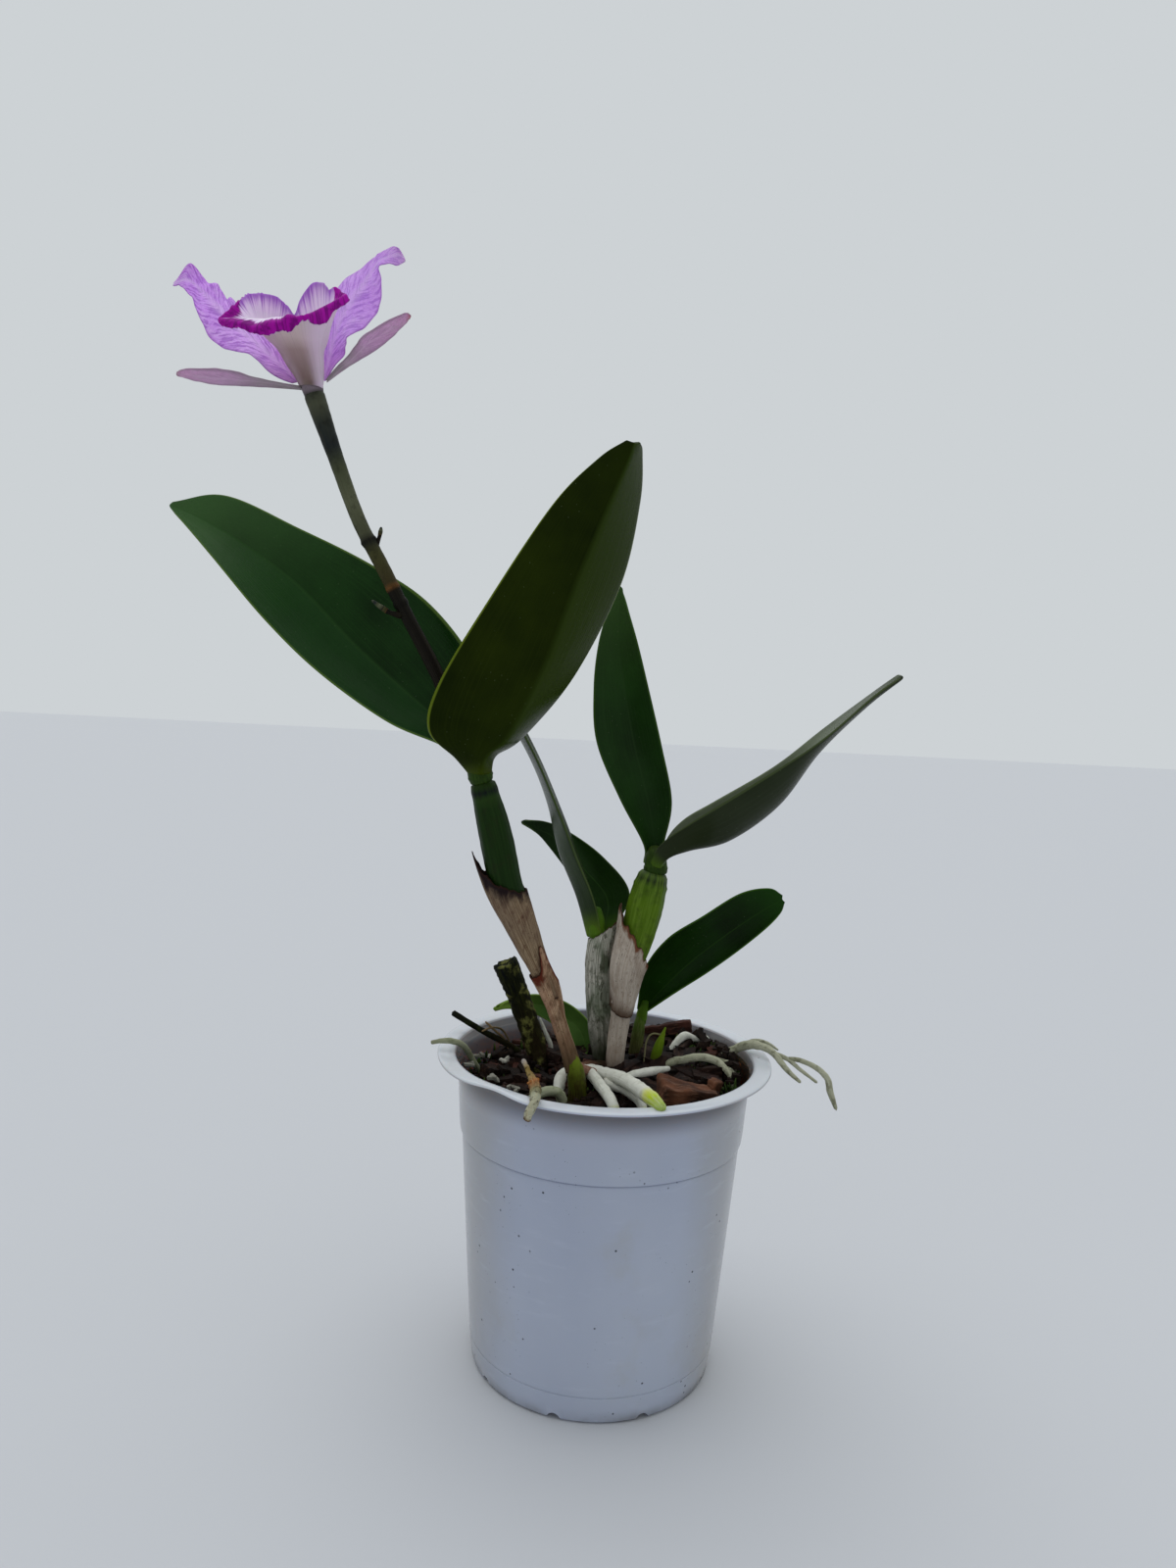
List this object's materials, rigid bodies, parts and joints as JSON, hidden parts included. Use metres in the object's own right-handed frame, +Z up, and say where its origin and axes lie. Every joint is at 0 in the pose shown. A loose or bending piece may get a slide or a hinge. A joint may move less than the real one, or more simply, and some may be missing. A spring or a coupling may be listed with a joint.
{
  "type": "potted cattleya orchid",
  "caption": "Cattleya orchid in flower in a round plastic nursery pot of bark, with ribbed pseudobulbs, papery sheaths, thick keeled leaves and roots over the rim.",
  "frame": {"origin": "centre of the pot's flat underside, on the surface it stands on", "axes": "+Z up, -Y towards the side that the front leaf and the lip face, +X to the right seen from there"},
  "size_m": [0.2595, 0.1242, 0.3839],
  "materials": {
    "pot_plastic": "satin, pale blue-grey, lightly soiled",
    "bark": "rough, dark brown, damp",
    "pseudobulb": "smooth ribbed green skin",
    "old_stem": "rough, blackened, mossy",
    "dry_sheath": "dry, papery, streaked brown and grey",
    "rhizome": "rough, reddish brown",
    "root": "chalky white to grey-green",
    "dead_root": "dry, flaking, orange-tan",
    "leaf": "waxy dark green with a thin pale margin",
    "flower_stem": "smooth, dark olive to brown",
    "sepal": "soft, dusky mauve, finely veined",
    "petal": "soft lavender-violet, finely veined",
    "lip": "pale inside, deep magenta frilled margin",
    "column": "waxy, near white"
  },
  "bodies": {
    "root": {"pot": "pot_plastic", "bark_mix": "bark", "pseudobulb_front": "pseudobulb", "pseudobulb_right": "pseudobulb", "pseudobulb_left": "pseudobulb", "pseudobulb_small": "pseudobulb", "young_shoot": "pseudobulb", "old_cut_stem": "old_stem", "old_flower_stalk": "old_stem", "sheath_front_upper": "dry_sheath", "sheath_front_lower": "dry_sheath", "sheath_right": "dry_sheath", "sheath_left": "dry_sheath", "rhizome": "rhizome", "roots_front": "root", "root_middle": "root", "root_front_left": "root", "root_old_grey": "root", "root_dead": "dead_root", "root_rim_left": "root", "root_right": "root", "root_rim_right": "root", "root_back_right": "root", "root_behind": "root", "leaf_front": "leaf", "leaf_back": "leaf", "leaf_left_edge_on": "leaf", "leaf_left_behind": "leaf", "leaf_right_upright": "leaf", "leaf_right_arching": "leaf", "leaf_low_right": "leaf", "leaf_low_left": "leaf", "flower_stem": "flower_stem", "sepal_left": "sepal", "sepal_right": "sepal", "sepal_dorsal": "sepal", "petal_left": "petal", "petal_right": "petal", "lip": "lip", "column": "column"}
  },
  "joints": []
}
